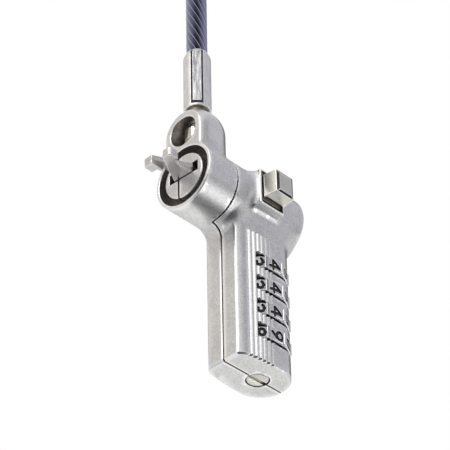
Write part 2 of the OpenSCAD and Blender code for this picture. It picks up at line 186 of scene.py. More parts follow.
def drum(p, axis, r, low, high, centre=(0.0, 0.0), edge=0.0):
    """A cylinder along an axis; centre is its place on the other two."""
    across = [c for k, c in enumerate(p) if k != axis]
    radial = np.hypot(across[0] - centre[0], across[1] - centre[1]) - r
    return pair(radial, between(p[axis], low, high), edge)


def brick(p, x0, x1, y0, y1, z0, z1, edge=0.0):
    """A box with rounded edges."""
    flat = pair(between(p[0], x0, x1), between(p[1], y0, y1), edge)
    return pair(flat, between(p[2], z0, z1), edge)


def ball(p, centre, r):
    return np.sqrt((p[0] - centre[0]) ** 2 + (p[1] - centre[1]) ** 2 + (p[2] - centre[2]) ** 2) - r


def outline(u, v, corners):
    """Signed distance to a polygon in the plane of u and v."""
    far_off = 1e9
    best = np.full(np.broadcast(u, v).shape, far_off, np.float32)
    inside = np.zeros(best.shape, bool)
    for (ax, ay), (bx, by) in zip(corners, corners[1:] + corners[:1]):
        dx, dy = bx - ax, by - ay
        t = np.clip(((u - ax) * dx + (v - ay) * dy) / (dx * dx + dy * dy), 0, 1)
        best = np.minimum(best, np.hypot(u - ax - t * dx, v - ay - t * dy))
        if dy:
            crossing = (ay > v) != (by > v)
            inside ^= crossing & (u < ax + (v - ay) * dx / dy)
    return np.where(inside, -best, best)


def stroke(u, v, points, half):
    """Signed distance to a line of that half width through the points."""
    tiny = 1e-12
    near = []
    for (ax, ay), (bx, by) in zip(points, points[1:]):
        dx, dy = bx - ax, by - ay
        t = np.clip(((u - ax) * dx + (v - ay) * dy) / (dx * dx + dy * dy + tiny), 0, 1)
        near.append(np.hypot(u - ax - t * dx, v - ay - t * dy))
    return reduce(np.minimum, near) - half


# ---------------- meshing
def steepest(shape, points, step=0.02):
    """Value of a distance at points, the unit vector it grows along, and how steeply."""

    def at(q):
        return np.asarray(shape((q[:, 0], q[:, 1], q[:, 2])), np.float64)

    slope = np.empty_like(points)
    for k in range(3):
        shift = np.zeros(3)
        shift[k] = step
        slope[:, k] = (at(points + shift) - at(points - shift)) / (2 * step)
    size = np.linalg.norm(slope, axis=1, keepdims=True)
    return at(points), slope / np.maximum(size, 1e-6), size[:, 0]


def mesh_object(name, points, faces, normals=None):
    """A smooth mesh from points in mm and a list of face arrays."""
    me = bpy.data.meshes.new(name)
    loops = np.concatenate([f.ravel() for f in faces]).astype(np.int32)
    sizes = np.concatenate([np.full(len(f), f.shape[1], np.int32) for f in faces])
    starts = np.concatenate([[0], np.cumsum(sizes)[:-1]]).astype(np.int32)
    me.vertices.add(len(points))
    me.vertices.foreach_set("co", (points * MM).astype(np.float32).ravel())
    me.loops.add(len(loops))
    me.loops.foreach_set("vertex_index", loops)
    me.polygons.add(len(sizes))
    me.polygons.foreach_set("loop_start", starts)
    me.polygons.foreach_set("use_smooth", np.ones(len(sizes), bool))
    me.update(calc_edges=True)
    me.validate()
    if normals is not None and len(me.vertices) == len(normals):
        me.normals_split_custom_set_from_vertices(normals.tolist())
    o = bpy.data.objects.new(name, me)
    bpy.context.scene.collection.objects.link(o)
    return o


def solid(name, shape, low, high, voxel, adaptivity=0.0):
    """Meshes the solid where shape is below zero, inside a box in mm.

    The points are then moved onto the shape in a few short steps, and shaded with its own slope.
    """
    margin, reach, stride, steps, flattest = 2.5 * voxel, 4 * voxel, 0.5 * voxel, 3, 0.3
    normal_step = 0.3 * voxel
    axes = [np.arange(a - margin, b + margin, voxel, dtype=np.float32) for a, b in zip(low, high)]
    p = (axes[0][:, None, None], axes[1][None, :, None], axes[2][None, None, :])
    field = np.broadcast_to(shape(p), [len(a) for a in axes])
    field = np.ascontiguousarray(np.clip(field, -reach, reach), dtype=np.float32)
    grid = vdb.FloatGrid(reach)
    grid.copyFromArray(field)
    points, triangles, quads = grid.convertToPolygons(isovalue=0.0, adaptivity=adaptivity)
    points = np.asarray(points, np.float64) * voxel + np.array([a[0] for a in axes])
    for _ in range(steps):
        value, slope, size = steepest(shape, points)
        move = np.clip(value / np.maximum(size, flattest), -stride, stride)
        points = points - slope * move[:, None]
    _, slope, _ = steepest(shape, points, normal_step)
    faces = [np.asarray(f, np.int64) for f in (triangles, quads) if len(f)]
    faces = facing_out(points, faces)
    return mesh_object(name, points, faces, slope)


def facing_out(points, faces):
    """The same faces, turned over when the volume they enclose counts as negative."""
    volume = 0.0
    for f in faces:
        a, b, c = points[f[:, 0]], points[f[:, 1]], points[f[:, 2]]
        volume += np.einsum("ij,ij->", a, np.cross(b, c))
        if f.shape[1] == 4:
            volume += np.einsum("ij,ij->", a, np.cross(c, points[f[:, 3]]))
    return faces if volume > 0 else [f[:, ::-1].copy() for f in faces]


# ---------------- the two shells
def handle_profile(x, y):
    """The handle's section: bevelled front, crowned sides and round rear."""
    side = np.abs(y)
    bevel = (HANDLE_X - x) * math.cos(FRONT_LEAN) + (side - FRONT_HALF) * math.sin(FRONT_LEAN)
    crown = np.hypot(x - CROWN_X, side + CROWN_R - HANDLE_HALF) - CROWN_R
    rear = np.hypot(np.maximum(x - HANDLE_END + REAR_R, 0), side) - REAR_R
    front = pair(pair(bevel - FRONT_SPARE, crown, CROWN_EDGE), HANDLE_X - x, FRONT_EDGE)
    return pair(front, rear, REAR_EDGE)


def ribbing(x, y, z):
    """Finger ribs: crests a little above the crowned side, valleys a little below it."""
    near_side = -3
    place = (x - RIB_FIRST) / RIB_PITCH
    nearest = np.clip(np.round(place), 0, RIB_COUNT - 1)
    off = np.abs(x - RIB_FIRST - nearest * RIB_PITCH)
    crest = CREST_HIGH * (1 + np.cos(np.pi * np.clip(off / CREST_HALF, 0, 1))) / 2
    sunk = np.clip((off - VALLEY_START) / VALLEY_RUN, 0, 1)
    valley = VALLEY_DEEP * (1 - np.cos(np.pi * sunk)) / 2
    panel = between(x, RIB_FIRST - RIB_LEAD, RIB_LAST + RIB_TAIL)
    along = np.clip((RIB_TOP + RIB_RUN_START - z) / RIB_RUN, 0, 1)
    across = np.clip(-panel / RIB_FADE, 0, 1) * (y < near_side)
    return (valley - crest) * along * across


def handle(p):
    x, y, z = p
    profile = handle_profile(x, y) + ribbing(x, y, z)
    foot = (HANDLE_LOW - z + profile) / math.sqrt(2) + FOOT_BEVEL
    return pair(pair(pair(profile, foot, FOOT_EDGE), HANDLE_LOW - z, FOOT_EDGE), z - HANDLE_TOP)


def lobe(p):
    """Upright cylinder with a ball's upper half, cut flat below the washer."""
    x, y, z = p
    dome = np.where(z > LOBE[2], ball(p, LOBE, LOBE_R), np.hypot(x - LOBE[0], y) - LOBE_R)
    return pair(pair(dome, -z), z - LOBE_TOP, LOBE_EDGE)


def outside(p):
    """The outer form of both shells together."""
    x = p[0]
    barrel_start = -5.0
    barrel = drum(p, 0, BARREL_R, barrel_start, BARREL_END, edge=BARREL_EDGE)
    body = join(barrel, handle(p), HANDLE_FILLET)
    x0, x1, half, face = BOSS
    boss = brick(p, x0, x1, face, 0.0, -half, half, edge=BOSS_EDGE)
    body = join(body, boss, BOSS_FILLET)
    body = join(body, lobe(p), LOBE_FILLET)
    return np.maximum(pair(body, -x, COLLAR_EDGE), x - BARREL_END)


def barrel_hollows(body, p):
    """The groove with its floor, the plug's bore, the chamber, the swivel's window and stud hole."""
    floor_inset, floor_thick, bore_past, chamber_lap, hole_edge = 0.5, 1, 0.5, 0.1, 0.1
    _, y, z = p
    body = cut(body, drum(p, 0, GROOVE_R, AHEAD, GROOVE_DEPTH), GROOVE_EDGE)
    floor = drum(p, 0, BARREL_R - floor_inset, GROOVE_DEPTH, NOSE_END + floor_thick)
    body = join(body, pair(floor, NOSE_R - np.hypot(y, z)))
    body = cut(body, drum(p, 0, NOSE_R + NOSE_ROOM, AHEAD, NOSE_END + bore_past))
    body = cut(body, drum(p, 0, CHAMBER_R, NOSE_END - chamber_lap, CHAMBER_END))
    body = cut(body, drum(p, 0, WINDOW_R, AHEAD, WINDOW_DEPTH, (0.0, WINDOW_Z)), WINDOW_EDGE)
    hole = drum(p, 2, STUD_HOLE_R, STUD_HOLE_LOW, STUD_HOLE_TOP, (CABLE_X, 0.0))
    return cut(body, hole, hole_edge)


def button_hollows(body, p):
    """The button's hole, the pocket inside the frame round it, and the room of its foot."""
    hole_corner, hole_edge, pocket_corner, pocket_edge = 0.25, 0.2, 0.5, 0.14
    hole = brick(p, BUTTON_X - CAP_HOLE_X, BUTTON_X + CAP_HOLE_X, BESIDE, CAP_HOLE_END,
                 -CAP_HOLE_Z, CAP_HOLE_Z, edge=hole_corner)
    body = cut(body, hole, hole_edge)
    x0, x1, half, _ = BOSS
    pocket = brick(p, x0 + RIM, x1 - RIM, BESIDE, POCKET_Y, RIM - half, half - RIM, edge=pocket_corner)
    body = cut(body, pocket, pocket_edge)
    return cut(body, brick(p, BUTTON_X - FOOT_HOLE_X, BUTTON_X + FOOT_HOLE_X, FOOT_HOLE_FACE, 0.0,
                           -FOOT_HOLE_Z, FOOT_HOLE_Z))


def wheel_wells(p):
    """The four wheels' round wells, with the windows in front of them on both sides."""
    x, y, z = p
    corner = 0.1
    round_part = np.hypot(x - DIAL_X, y) - WELL_R
    front_part = np.maximum(between(x, WINDOW_X, DIAL_X), WINDOW_FLOOR - np.abs(y))
    section = np.minimum(round_part, front_part)
    levels = [between(z, dz - WELL_HALF, dz + WELL_HALF) for dz in DIAL_Z]
    return reduce(np.minimum, [pair(section, level, corner) for level in levels])


def handle_hollows(body, p):
    """Wells and windows, bores on the wheels' axis, room of the detent spring, holes of the dowels."""
    body = cut(body, wheel_wells(p), WELL_EDGE)
    for r, low, high, edge in (HUB_BORE, SPINDLE_BORE, SCREW_BORE):
        body = cut(body, drum(p, 2, r, low, high, (DIAL_X, 0.0)), edge)
    body = cut(body, brick(p, DETENT_X, DIAL_X, -DETENT_HALF, DETENT_HALF, DETENT_LOW, DETENT_HIGH))
    for dz in DOWEL_Z:
        body = cut(body, drum(p, 1, DOWEL_R, -DOWEL_HALF, DOWEL_HALF, (DOWEL_X, dz)))
    return body


def shells(p):
    """Both shells in one: the outer form less its hollows."""
    body = barrel_hollows(outside(p), p)
    body = button_hollows(body, p)
    return handle_hollows(body, p)


def near_half(p):
    """The near shell's side of the seam: behind the collar, towards the wheels."""
    return np.maximum(COLLAR_END - p[0], p[1])


def main_shape(p):
    return cut(shells(p), near_half(p), FAR_EDGE)


def dial_shape(p):
    return pair(shells(p), near_half(p) + SEAM, SEAM_EDGE)


# ---------------- nose and jaws
def nose_shape(side):
    """A half of the nose plug: the one to +Y for side 1, the one to -Y for -1."""
    slot_edge = 0.1

    def shape(p):
        plug = drum(p, 0, NOSE_R, NOSE_FACE, NOSE_END, edge=NOSE_EDGE)
        half = pair(plug, NOSE_GAP - side * (p[1] - NOSE_SEAM), NOSE_GAP_EDGE)
        slot = brick(p, AHEAD, SLOT_END, -SLOT_HALF, SLOT_HALF, SLOT_LOW, SLOT_HIGH)
        half = cut(half, slot, slot_edge)
        return cut(half, drum(p, 2, PIVOT_HOLE_R, PIVOT_LOW, PIVOT_HIGH, (PIVOT_X, 0.0)))

    return shape


def jaw_outline(reach, out, width):
    """A jaw seen from above: hook, arm round the pivot, tail in the slider's fork."""
    tip, root = -reach, HOOK_THICK - reach
    hook = [(tip, HOOK_BEVEL - out), (tip + HOOK_BEVEL, -out), (root, -out), (root, -2.7)]
    arm = [(-3.6, -2.2), (0.2, -3.1), (8.2, -3.1), (9.6, 0.4)]
    tail = [(15.5, 0.9), (15.5, 2.6), (8.2, 3.1), (0.2, 3.1)]
    return hook + arm + tail + [(tip, width - out)]


def jaw_shape(mirror, low, high, reach, out, width, deep):
    """A thin blade from low to high, with a lug of the hooks' full height at its hook."""
    corners = jaw_outline(reach, out, width)
    blade_edge, lug_edge, lug_corner, fillet = 0.12, 0.15, 0.25, 0.15
    past, hole_reach = 1, 9.0

    def shape(p):
        x, y, z = p[0], p[1] * mirror, p[2]
        flat = outline(x, y, corners)
        blade = pair(flat, between(z, low, high), blade_edge)
        lug = pair(flat, between(x, -reach - past, deep - reach), lug_edge)
        lug = pair(lug, between(y, -out - past, width - out), lug_corner)
        lug = pair(lug, between(z, HOOK_LOW, HOOK_HIGH), lug_corner)
        hole = drum(p, 2, JAW_HOLE_R, -hole_reach, hole_reach, (PIVOT_X, 0.0))
        return cut(join(blade, lug, fillet), hole)

    return shape


# ---------------- button, wheels, screw
def button_cap(x, y, z):
    """The tapered cap with its sloping rim."""
    corner, face_edge, bevel_edge = 0.22, 0.12, 0.08
    depth = y - BUTTON_FACE
    half_x = CAP_HALF_X + TAPER_X * np.clip(depth, 0, TAPER_DEPTH)
    half_z = CAP_HALF_Z + TAPER_Z * np.clip(depth, 0, TAPER_DEPTH)
    from_x, from_z = np.abs(x - BUTTON_X) - half_x, np.abs(z) - half_z
    cap = pair(pair(from_x, from_z, corner), between(y, BUTTON_FACE, CAP_END), face_edge)
    lean, rise = math.cos(CAP_LEAN), math.sin(CAP_LEAN)
    bevel_x = (from_x + CAP_BEVEL_X) * lean - depth * rise
    bevel_z = (from_z + CAP_BEVEL_Z) * lean - depth * rise
    return pair(pair(cap, bevel_x, bevel_edge), bevel_z, bevel_edge)


def button_shape(p):
    """Cap, foot and wedge in one piece."""
    x, y, z = p
    edge = 0.1
    foot = brick(p, BUTTON_X - FOOT_HALF_X, BUTTON_X + FOOT_HALF_X, FOOT_FACE, CAP_END,
                 -FOOT_HALF_Z, FOOT_HALF_Z, edge=edge)
    wedge = pair(outline(x, y, WEDGE), np.abs(z) - WEDGE_HALF, edge)
    return np.minimum(np.minimum(button_cap(x, y, z), foot), wedge)


def arc(cx, cy, rx, ry, start, end, steps=9):
    """Points along an elliptic arc, with its angles in degrees."""
    turn = [math.radians(start + (end - start) * k / (steps - 1)) for k in range(steps)]
    return [(cx + rx * math.cos(t), cy + ry * math.sin(t)) for t in turn]


# Strokes of the digits 0 to 9, each 2 wide and 3 tall, round its own middle
DIGITS = [
    [arc(0, 0, 0.95, 1.5, 90, 450, 17)],
    [[(-0.6, 0.95), (0.1, 1.5), (0.1, -1.5)]],
    [arc(0, 0.62, 0.92, 0.88, 170, -35) + [(-0.98, -1.5), (1.0, -1.5)]],
    [arc(-0.05, 0.72, 0.85, 0.78, 150, -90), arc(-0.05, -0.72, 0.95, 0.78, 90, -150)],
    [[(0.45, -1.5), (0.45, 1.5), (-1.0, -0.65), (1.05, -0.65)]],
    [[(0.85, 1.5), (-0.7, 1.5), (-0.8, 0.2)] + arc(0, -0.55, 0.95, 0.95, 130, -140)],
    [[(0.6, 1.5), (-0.6, 0.4)] + arc(0, -0.6, 0.92, 0.9, 160, 520, 15)],
    [[(-0.95, 1.5), (0.95, 1.5), (-0.25, -1.5)]],
    [arc(0, 0.75, 0.78, 0.75, -90, 270, 15), arc(0, -0.72, 0.95, 0.78, 90, 450, 15)],
    [[(-0.6, -1.5), (0.6, -0.4)] + arc(0, 0.6, 0.92, 0.9, -20, 340, 15)],
]
# Half width of a stroke in a digit's own units, and those units in mm
DIGIT_HALF = 0.36
DIGIT_TALL, DIGIT_WIDE = 1.05, 1.15
# The digit at each wheel's first place, from the top wheel down
FIRST_DIGITS = (4, 4, 4, 9)


def wheel_sector(x, y):
    """Angle from the -Y side towards the nose, the digit's place it falls in, that place's middle."""
    turn = np.degrees(np.arctan2(-(x - DIAL_X), -y))
    sector = np.floor((RIDGE_TURN - turn) / SECTOR)
    middle = RIDGE_TURN - SECTOR * (sector + 0.5)
    return turn, np.mod(sector, 10).astype(int), middle


def wheel_ink(x, y, z, first):
    """Distance to the digits' strokes, unrolled on the wheel's face."""
    rim_r, far_off = 7.0, 9.0
    turn, sector, middle = wheel_sector(x, y)
    up = np.radians(middle - turn) * DIAL_R
    found = np.full(np.broadcast(up, z).shape, far_off, np.float32)
    up, z, sector = np.broadcast_arrays(up, z, sector)
    near = np.hypot(np.broadcast_to(x, up.shape) - DIAL_X, np.broadcast_to(y, up.shape)) > rim_r
    for k in range(10):
        here = (sector == k) & near
        u, v = -z[here] / DIGIT_WIDE, up[here] / DIGIT_TALL
        strokes = [stroke(u, v, line, DIGIT_HALF) for line in DIGITS[(first + k) % 10]]
        found[here] = reduce(np.minimum, strokes)
    return found


def wheel_shape(first):
    """A wheel round its own middle: smooth rim, ten ridges and sunken digits."""
    face_edge, ridge_edge, ridge_end, fillet, ink_edge = 0.32, 0.2, 0.14, 0.12, 0.04
    ridge_floor = 7.0

    def shape(p):
        x, y, z = p
        radial = np.hypot(x - DIAL_X, y)
        face = pair(radial - FACET_R, np.abs(z) - DIAL_HALF, face_edge)
        turn, _, middle = wheel_sector(x, y)
        from_ridge = np.radians(SECTOR / 2 - np.abs(turn - middle)) * DIAL_R - RIDGE_SHIFT
        ridge = pair(radial - DIAL_R - RIDGE_HIGH, from_ridge - RIDGE_HALF, ridge_edge)
        ridge = pair(ridge, np.abs(z) - DIAL_HALF, ridge_end)
        body = join(face, pair(ridge, ridge_floor - radial), fillet)
        dark_marking = np.maximum(wheel_ink(x, y, z, first), INK_R - radial)
        return np.maximum(cut(body, dark_marking, ink_edge), WHEEL_BORE_R - radial)

    return shape


def screw_shape(p):
    slot_edge, slot_reach = 0.15, (10.0, 40.0)
    head = drum(p, 2, SCREW_R, SCREW_LOW, SCREW_TOP, (DIAL_X, 0.0), edge=SCREW_EDGE)
    slot = brick(p, *slot_reach, -SCREW_SLOT_HALF, SCREW_SLOT_HALF, BELOW, SCREW_SLOT_TOP)
    return cut(head, slot, slot_edge)


# ---------------- swivel, ferrule, sleeve
def about_cable(p):
    """Distance from the cable's axis where it leaves the lobe."""
    return np.hypot(p[0] - CABLE_X, p[1])


def pin_shape(p):
    """The swivel's stud, turned about the cable's axis: bevelled head below, shank above."""
    head_low_r, head_edge_z, head_top, past_axis = 1.9, 13.2, 16.0, -1.0
    profile = [(past_axis, STUD_LOW), (head_low_r, STUD_LOW), (STUD_HEAD_R, head_edge_z),
               (STUD_HEAD_R, head_top), (STUD_R, head_top), (STUD_R, STUD_END), (past_axis, STUD_END)]
    return outline(about_cable(p), p[2], profile)


def washer_shape(p):
    edge = 0.2
    ring = pair(about_cable(p) - WASHER_R, between(p[2], WASHER_LOW, FERRULE_LOW), edge)
    return np.maximum(ring, RING_HOLE_R - about_cable(p))


def crimp_faces(x, y):
    """For each of the three pressed flats: distance outwards and distance from its middle line."""
    for k in range(3):
        a = CRIMP_TURN + math.radians(120.0 * k)
        out = (x - CABLE_X) * math.cos(a) + y * math.sin(a)
        yield out, np.abs((x - CABLE_X) * math.sin(a) - y * math.cos(a))


def crimp_border_shade(c):
    """Faces in the sharp borders and heels of the pressed flats, reaching a little past the cuts, painted
    black as their shade.
    """
    border_reach, heel_reach, heel_low, heel_high = 0.25, 1.5, 23.2, 24.35
    cut_out, heel_out, skin_r, inner_r = 2.6, 3.1, 3.46, 2.8
    x, y, z = c.T
    radial = np.hypot(x - CABLE_X, y)
    found = np.zeros(len(c), bool)
    for out, side in crimp_faces(x, y):
        border = (np.abs(side - BORDER_MIDDLE) < border_reach) & (out > cut_out) & (z > CRIMP_LOW)
        heel = (side < heel_reach) & (out > cut_out) & (out < heel_out)
        found |= (border & (radial < skin_r)) | (heel & (z > heel_low) & (z < heel_high))
    return found & (radial > inner_r)


def crimp_flats(c):
    """Faces of the pressed flats themselves."""
    half, spare, flats_end = 1.2, 0.1, 41.5
    x, y, z = c.T
    found = np.zeros(len(c), bool)
    for out, side in crimp_faces(x, y):
        found |= (side < half) & (np.abs(out - CRIMP_OUT) < spare)
    return found & (z > HEEL_TOP) & (z < flats_end)


def ferrule_shape(p):
    """A tube with a sloping shoulder, three pressed flats and a sunken border round each."""
    edge, press_edge, shoulder_scale = 0.2, 0.05, 1.1
    x, y, z = p
    radial = about_cable(p)
    body = pair(radial - FERRULE_R, between(z, FERRULE_LOW, FERRULE_TIP), edge)
    shoulder = (radial - FERRULE_R + (z - SHOULDER_Z) * SHOULDER_SLOPE) / shoulder_scale
    body = pair(body, shoulder, edge)
    for out, side in crimp_faces(x, y):
        press = np.maximum(CRIMP_OUT - out, side - CRIMP_HALF)
        border = np.maximum(BORDER_OUT - out, np.abs(side - BORDER_MIDDLE) - BORDER_HALF)
        heel = np.maximum(np.maximum(BORDER_OUT - out, side - HEEL_HALF), z - HEEL_TOP)
        pressed = np.minimum(np.minimum(press, border), heel)
        body = cut(body, np.maximum(pressed, CRIMP_LOW - z), press_edge)
    return np.maximum(body, np.where(z < STUD_END, RING_HOLE_R, CABLE_R + CABLE_ROOM) - radial)


def sleeve_shape(p):
    """The pressed sleeve round both legs of the eye, with three rings pressed in."""
    x, y, z = p
    oval = np.hypot(x - np.clip(x, CABLE_X, LEG_X), y)
    body = pair(oval - SLEEVE_R, between(z, SLEEVE_LOW, SLEEVE_HIGH), SLEEVE_EDGE)
    for dz in SLEEVE_RINGS:
        ring = np.maximum(RING_DEPTH_R - oval, np.abs(z - dz) - RING_HALF)
        body = cut(body, ring, RING_EDGE)
    bore = np.minimum(about_cable(p), np.hypot(x - LEG_X, y)) - CABLE_R - CABLE_ROOM
    return cut(body, bore, RING_EDGE)


# ---------------- cable
def smooth_route():
    """The route as evenly spaced points on a cubic B-spline, in mm, and their distances along it."""
    step, samples = 0.35, 24
    pts = np.array([(x, 0.0, z) for x, z in ROUTE])
    ends = np.vstack([2 * pts[0] - pts[1], pts, 2 * pts[-1] - pts[-2]])
    t = np.linspace(0, 1, samples + 1)[:-1, None]
    line = []
    for a, b, c, d in zip(ends, ends[1:], ends[2:], ends[3:]):
        line.append(((1 - t)**3 * a + (3 * t**3 - 6 * t**2 + 4) * b
                     + (-3 * t**3 + 3 * t**2 + 3 * t + 1) * c + t**3 * d) / 6)
    line = np.vstack(line + [pts[-1:]])
    far = np.concatenate([[0], np.cumsum(np.linalg.norm(np.diff(line, axis=0), axis=1))])
    at = np.linspace(0, far[-1], int(far[-1] / step) + 1)
    return np.stack([np.interp(at, far, line[:, k]) for k in range(3)], 1), at


def tube_faces(rows, cols):
    """Quads round a tube of rows of points, and triangles to a last point at each end."""
    i, j = np.meshgrid(np.arange(rows - 1), np.arange(cols), indexing="ij")
    k = (j + 1) % cols
    quads = np.stack([i * cols + j, i * cols + k, (i + 1) * cols + k, (i + 1) * cols + j], -1)
    ring = np.arange(cols)
    count, last_row = rows * cols, (rows - 1) * cols
    first = np.stack([np.full(cols, count), (ring + 1) % cols, ring], 1)
    last = np.stack([np.full(cols, count + 1), last_row + ring, last_row + (ring + 1) % cols], 1)
    return [quads.reshape(-1, 4), np.vstack([first, last])]


def cable_mesh():
    """The cable with its strands as a faint relief; the attribute strand is 1 on their crests."""
    around = 80
    line, at = smooth_route()
    along = np.gradient(line, axis=0)
    along /= np.linalg.norm(along, axis=1, keepdims=True)
    side = np.tile([0.0, 1.0, 0.0], (len(line), 1))
    up = np.cross(along, side)
    a = np.linspace(0, 2 * np.pi, around, endpoint=False)
    phase = STRANDS * (a[None, :] - 2 * np.pi * at[:, None] / LAY)
    r = CABLE_R - STRAND_RELIEF + STRAND_RELIEF * np.cos(phase)
    points = (line[:, None, :] + r[..., None] * (np.cos(a)[None, :, None] * side[:, None, :]
                                                 + np.sin(a)[None, :, None] * up[:, None, :]))
    points = np.vstack([points.reshape(-1, 3), line[:1], line[-1:]])
    o = mesh_object("steel_cable", points, facing_out(points, tube_faces(len(line), around)))
    strand = np.concatenate([(0.5 + 0.5 * np.cos(phase)).ravel(), [0.5, 0.5]])
    layer = o.data.attributes.new("strand", "FLOAT", "POINT")
    layer.data.foreach_set("value", strand.astype(np.float32))
    return o, line, at[-1]


# ---------------- materials
class Nodes:
    """Short names for building a node tree."""

    def __init__(self, name):
        self.material = bpy.data.materials.new(name)
        self.material.use_nodes = True
        self.tree = self.material.node_tree
        self.shader = self.tree.nodes["Principled BSDF"]

    def link(self, source, target):
        self.tree.links.new(source, target)

    def add(self, kind, **values):
        """A new node with these attributes."""
        node = self.tree.nodes.new(kind)
        for key, value in values.items():
            setattr(node, key, value)
        return node

    def math(self, kind, a, b, clamp=False):
        """Result of that operation; a and b are numbers or sockets."""
        node = self.add("ShaderNodeMath", operation=kind, use_clamp=clamp)
        for socket, value in zip(node.inputs, (a, b)):
            if isinstance(value, (int, float)):
                socket.default_value = value
            else:
                self.link(value, socket)
        return node.outputs[0]

    def noise(self, scale, detail=4.0, roughness=0.55, stretch=None):
        """Noise in the object's own space, drawn out along an axis by a small stretch."""
        place = self.add("ShaderNodeTexCoord").outputs["Object"]
        if stretch:
            mapping = self.add("ShaderNodeMapping")
            mapping.inputs["Scale"].default_value = stretch
            self.link(place, mapping.inputs["Vector"])
            place = mapping.outputs["Vector"]
        node = self.add("ShaderNodeTexNoise")
        node.inputs["Scale"].default_value = scale
        node.inputs["Detail"].default_value = detail
        node.inputs["Roughness"].default_value = roughness
        self.link(place, node.inputs["Vector"])
        return node.outputs["Fac"]

    def ramp(self, factor, stops):
        """Colour by factor, from (place, colour) stops."""
        node = self.add("ShaderNodeValToRGB")
        ends = node.color_ramp.elements
        while len(ends) < len(stops):
            ends.new(0.5)
        for end, (place, colour) in zip(ends, stops):
            end.position = place
            end.color = (*colour, 1.0)
        self.link(factor, node.inputs["Fac"])
        return node.outputs["Color"]

    def grey(self, factor, low, high):
        """The factor spread from low to high."""
        node = self.add("ShaderNodeMapRange")
        node.inputs["To Min"].default_value = low
        node.inputs["To Max"].default_value = high
        self.link(factor, node.inputs["Value"])
        return node.outputs["Result"]

    def edges(self, low, high):
        """0 on flat and hollow places, 1 on outward edges."""
        wear_and_glint = self.add("ShaderNodeMapRange")
        wear_and_glint.inputs["From Min"].default_value = low
        wear_and_glint.inputs["From Max"].default_value = high
        self.link(self.add("ShaderNodeNewGeometry").outputs["Pointiness"], wear_and_glint.inputs["Value"])
        return wear_and_glint.outputs["Result"]

    def bump(self, height, strength, distance):
        node = self.add("ShaderNodeBump")
        node.inputs["Strength"].default_value = strength
        node.inputs["Distance"].default_value = distance
        self.link(height, node.inputs["Height"])
        self.link(node.outputs["Normal"], self.shader.inputs["Normal"])

    def mixed(self, factor, a, b):
        """Colour between a and b, each a colour or a socket."""
        node = self.add("ShaderNodeMix", data_type="RGBA")
        self.link(factor, node.inputs["Factor"])
        for socket, value in ((node.inputs["A"], a), (node.inputs["B"], b)):
            if isinstance(value, tuple):
                socket.default_value = (*value, 1.0)
            else:
                self.link(value, socket)
        return node.outputs["Result"]


# Depth of the finest grain in a material, in metres
GRAIN_DEPTH = 0.00004


def metal(name, dark, light, rough, grain, grain_scale, wear_and_glint=(0.95, 0.95, 0.95), stretch=None):
    """Metal with a fine grain, patchy tone and smoother edges in their own lighter colour, partly wear and
    partly a painted highlight on the edges.
    """
    patch_scale, patch_share, fine_share, edge_polish = 260.0, 0.25, 0.75, -0.12
    n = Nodes(name)
    patches = n.noise(patch_scale, 5.0, 0.6)
    fine = n.noise(grain_scale, 3.0, 0.65, stretch)
    mottle = n.math("ADD", n.math("MULTIPLY", patches, patch_share),
                    n.math("MULTIPLY", fine, fine_share))
    tone = n.ramp(mottle, [(0.36, dark), (0.64, light)])
    edge = n.edges(0.505, 0.54)
    # Outward edges take the lighter colour, partly wear and partly a painted highlight.
    n.link(n.mixed(edge, tone, wear_and_glint), n.shader.inputs["Base Color"])
    n.shader.inputs["Metallic"].default_value = 1.0
    spread = n.grey(n.math("ADD", n.math("MULTIPLY", patches, 0.5), n.math("MULTIPLY", fine, 0.5)),
                    rough[0], rough[1])
    smoother = n.math("MULTIPLY", edge, edge_polish)
    n.link(n.math("ADD", spread, smoother, clamp=True), n.shader.inputs["Roughness"])
    n.bump(fine, grain, GRAIN_DEPTH)
    return n.material


def satin_nickel():
    return metal("satin_nickel", dark=(0.54, 0.54, 0.55), light=(0.80, 0.80, 0.795),
                 rough=(0.25, 0.42), grain=0.9, grain_scale=2600.0)


def bright_nickel():
    return metal("bright_nickel", dark=(0.50, 0.485, 0.44), light=(0.68, 0.665, 0.62),
                 wear_and_glint=(0.95, 0.95, 0.93), rough=(0.08, 0.20), grain=0.12, grain_scale=2600.0)


def crimp_nickel():
    """The ferrule: plated smooth, then streaked lengthways by the press."""
    return metal("crimp_nickel", dark=(0.66, 0.66, 0.665), light=(0.86, 0.86, 0.87),
                 rough=(0.36, 0.50), grain=0.5, grain_scale=2600.0, stretch=(1.0, 1.0, 0.16))


def crimp_streaks():
    """The pressed flats: scored lengthways, in dark and light streaks along the scores."""
    return metal("crimp_streaks", dark=(0.22, 0.22, 0.25), light=(0.88, 0.88, 0.90),
                 rough=(0.20, 0.40), grain=0.8, grain_scale=1500.0, stretch=(1.0, 1.0, 0.14))


def wheel_nickel():
    return metal("wheel_nickel", dark=(0.55, 0.55, 0.57), light=(0.70, 0.70, 0.72),
                 rough=(0.18, 0.34), grain=0.3, grain_scale=4200.0)


def hook_steel():
    return metal("hook_steel", dark=(0.52, 0.50, 0.48), light=(0.74, 0.72, 0.70), wear_and_glint=(0.95, 0.94, 0.93),
                 rough=(0.26, 0.46), grain=0.4, grain_scale=3600.0)


def plain_steel():
    return metal("plain_steel", dark=(0.40, 0.39, 0.37), light=(0.56, 0.55, 0.53), wear_and_glint=(0.80, 0.80, 0.78),
                 rough=(0.22, 0.42), grain=0.25, grain_scale=2400.0, stretch=(1.0, 1.0, 0.2))


def oxide_and_shade_steel():
    """The washer, dark brown: partly browned by its heat treatment, partly painted shade of the gap between
    ferrule and lobe.
    """
    return metal("oxide_and_shade_steel", dark=(0.10, 0.075, 0.05), light=(0.24, 0.19, 0.14), wear_and_glint=(0.55, 0.47, 0.38),
                 rough=(0.22, 0.42), grain=0.3, grain_scale=2400.0)


